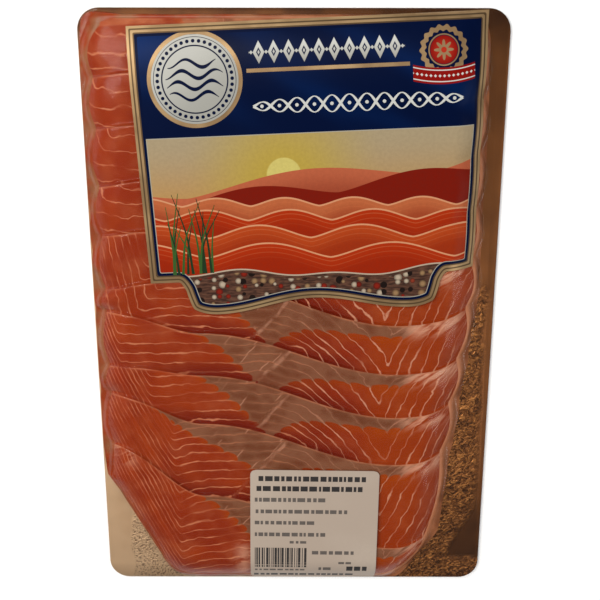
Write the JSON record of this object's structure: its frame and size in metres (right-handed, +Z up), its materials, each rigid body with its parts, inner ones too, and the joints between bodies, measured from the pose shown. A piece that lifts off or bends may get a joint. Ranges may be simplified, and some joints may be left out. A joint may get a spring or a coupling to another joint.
{
  "type": "vacuum pack of sliced trout",
  "caption": "Flat vacuum pack of shingled trout slices on a gold board, with a lobed front label and a small paper label.",
  "frame": {"origin": "underside of the pack, at the middle of the board", "axes": "+Z up through the pack as it lies on its back, +Y along the board towards the end with the front label, +X to the right of that label"},
  "size_m": [0.179, 0.266, 0.0115],
  "materials": {
    "trout": "moist orange fish with pale fat lines, under clear film",
    "film": "clear glossy vacuum film with fine creases",
    "gold_board": "board laminated with gold film, brushed soft reflection",
    "board_back": "plain pale grey laminated board",
    "front_print": "glossy printed label, navy and gold over a field of orange, yellow and brown",
    "info_paper": "matt white thermal paper with plain grey marks"
  },
  "bodies": {
    "root": {"sealed_pack": "trout", "front_label": "front_print", "info_label": "info_paper"}
  },
  "joints": []
}
